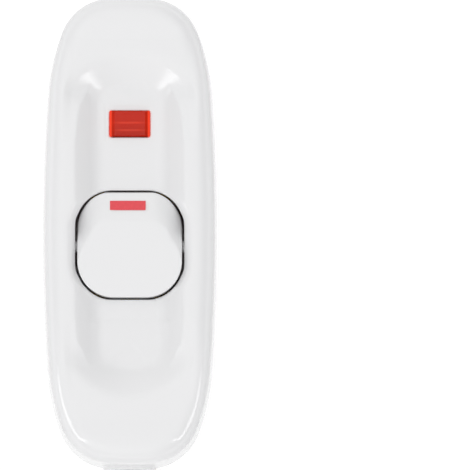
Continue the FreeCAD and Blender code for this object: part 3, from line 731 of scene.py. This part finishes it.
def white_card(name):
    """Matt white card: evenly white in view, with the switch's soft shadow, and plain to other light."""
    material = bpy.data.materials.new(name)
    material.use_nodes = True
    tree = material.node_tree
    tree.nodes.clear()
    card = node(tree, "ShaderNodeBsdfDiffuse", {"Color": grey(FLOOR_GREY)})
    glow = node(tree, "ShaderNodeEmission", {"Color": grey(1.0), "Strength": FLOOR_GLOW})
    both = node(tree, "ShaderNodeAddShader", {0: card.outputs["BSDF"], 1: glow.outputs["Emission"]})
    bounce = node(tree, "ShaderNodeBsdfDiffuse", {"Color": grey(FLOOR_BOUNCE)})
    seen = any_ray(tree, "Is Camera Ray", "Is Glossy Ray", "Is Transmission Ray")
    mix = node(tree, "ShaderNodeMixShader", {0: seen, 1: bounce.outputs["BSDF"], 2: both.outputs["Shader"]})
    node(tree, "ShaderNodeOutputMaterial", {"Surface": mix.outputs["Shader"]})
    return material


def white_floor():
    """A pale floor just below the switch."""
    bpy.ops.mesh.primitive_plane_add(size=FLOOR_SIZE, location=(0, 0, -FLOOR_GAP))
    floor = bpy.context.object
    floor.name = "studio_floor"
    bpy.ops.object.transform_apply(location=True, rotation=False, scale=False)
    floor.data.materials.append(white_card("white_card_floor"))


def softbox(name, side, place, size, power):
    """An area lamp on one side that faces the switch and shows only in its gloss."""
    lamp = bpy.data.lights.new(name, "AREA")
    lamp.shape = "RECTANGLE"
    lamp.size, lamp.size_y = size
    lamp.energy = power
    holder = bpy.data.objects.new(name, lamp)
    bpy.context.scene.collection.objects.link(holder)
    holder.visible_diffuse = False
    holder.location = (side * place[0], place[1], place[2])
    holder.rotation_euler = (-Vector(holder.location)).to_track_quat("-Z", "Y").to_euler()


def photo_camera(studio):
    """The camera over the front, framed as the photograph is."""
    metres_per_pixel = MM / studio.pixels_per_mm
    middle = IMAGE_PIXELS / 2
    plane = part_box("front_cover")[0][2]
    target = Vector(((middle - studio.centre_pixel_x) * metres_per_pixel,
                     (studio.centre_pixel_y - middle) * metres_per_pixel, plane))
    data = bpy.data.cameras.new("photo_camera")
    camera = bpy.data.objects.new("photo_camera", data)
    bpy.context.scene.collection.objects.link(camera)
    data.sensor_width = SENSOR_WIDTH
    data.lens = SENSOR_WIDTH * studio.distance / (IMAGE_PIXELS * metres_per_pixel)
    data.clip_end = FARTHEST
    camera.rotation_euler = (studio.tilt, 0, 0)
    camera.location = target + Vector((0, -math.sin(studio.tilt), math.cos(studio.tilt))) * studio.distance
    bpy.context.scene.camera = camera


class SWITCH_OT_stage(bpy.types.Operator):
    """Sets the floor, the light and the camera"""
    bl_idname = "cord_switch.stage"
    bl_label = "Stage"

    def execute(self, context):
        studio = context.scene.studio_settings
        context.scene.view_settings.view_transform = "Standard"
        bpy.ops.object.select_all(action="DESELECT")
        white_world(studio)
        white_floor()
        for name, side in (("left", -1), ("right", 1)):
            softbox(f"{name}_shoulder_lamp", side, SHOULDER_LAMP_PLACE, SHOULDER_LAMP_SIZE,
                    studio.shoulder_lamp)
            softbox(f"{name}_low_strip", side, LOW_STRIP_PLACE, LOW_STRIP_SIZE, studio.low_strip)
        photo_camera(studio)
        return {"FINISHED"}


class SWITCH_PT_panel(bpy.types.Panel):
    """Lists the steps and their settings"""
    bl_idname = "SWITCH_PT_panel"
    bl_label = "Cord switch"
    bl_space_type = "VIEW_3D"
    bl_region_type = "UI"
    bl_category = "Cord switch"

    def draw(self, context):
        for settings in (context.scene.moulded_finish, context.scene.studio_settings):
            for name in settings.__annotations__:
                self.layout.prop(settings, name)
        for step in STEPS:
            self.layout.operator(step.bl_idname)


STEPS = (SWITCH_OT_housing, SWITCH_OT_rocker, SWITCH_OT_indicator, SWITCH_OT_works, SWITCH_OT_stage)
CLASSES = (MouldedFinish, StudioSettings) + STEPS + (SWITCH_PT_panel,)


def register():
    """Registers the steps, the panel and their settings."""
    for one in CLASSES:
        bpy.utils.register_class(one)
    bpy.types.Scene.moulded_finish = bpy.props.PointerProperty(type=MouldedFinish)
    bpy.types.Scene.studio_settings = bpy.props.PointerProperty(type=StudioSettings)


def unregister():
    """Takes the steps, the panel and their settings away again."""
    del bpy.types.Scene.studio_settings
    del bpy.types.Scene.moulded_finish
    for one in reversed(CLASSES):
        bpy.utils.unregister_class(one)


def main():
    """Runs every step."""
    register()
    bpy.ops.cord_switch.housing()
    bpy.ops.cord_switch.rocker()
    bpy.ops.cord_switch.indicator()
    bpy.ops.cord_switch.works()
    bpy.ops.cord_switch.stage()


if __name__ == "__main__":
    main()
